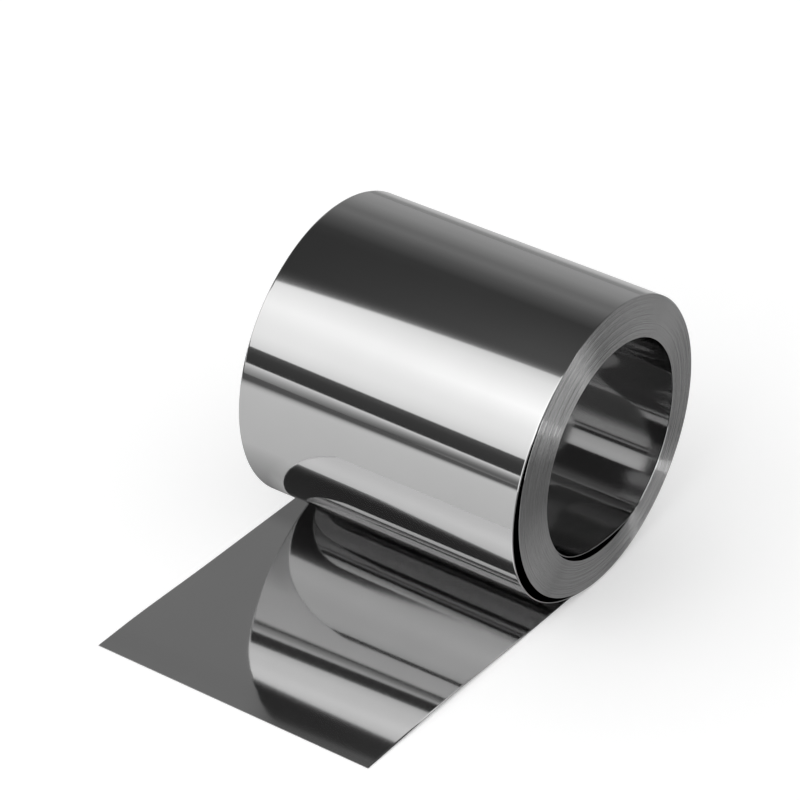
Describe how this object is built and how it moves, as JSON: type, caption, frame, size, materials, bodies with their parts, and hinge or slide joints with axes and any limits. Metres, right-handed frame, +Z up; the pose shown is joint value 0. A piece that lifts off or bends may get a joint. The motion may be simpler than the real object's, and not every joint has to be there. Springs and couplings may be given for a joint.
{
  "type": "stainless steel strip",
  "caption": "Narrow coil of thin polished stainless steel strip lying on its round side, with its free end run out flat on the floor.",
  "frame": {"origin": "centre of the bore, midway along the strip's width", "axes": "+X along the bore's axis, +Z up, with the free end of the strip running out along -Y on the floor"},
  "size_m": [0.1081, 0.1654, 0.1007],
  "materials": {
    "polished_stainless": "mirror-polished bright annealed stainless steel"
  },
  "bodies": {
    "root": {"strip_coil": "polished_stainless"}
  },
  "joints": []
}
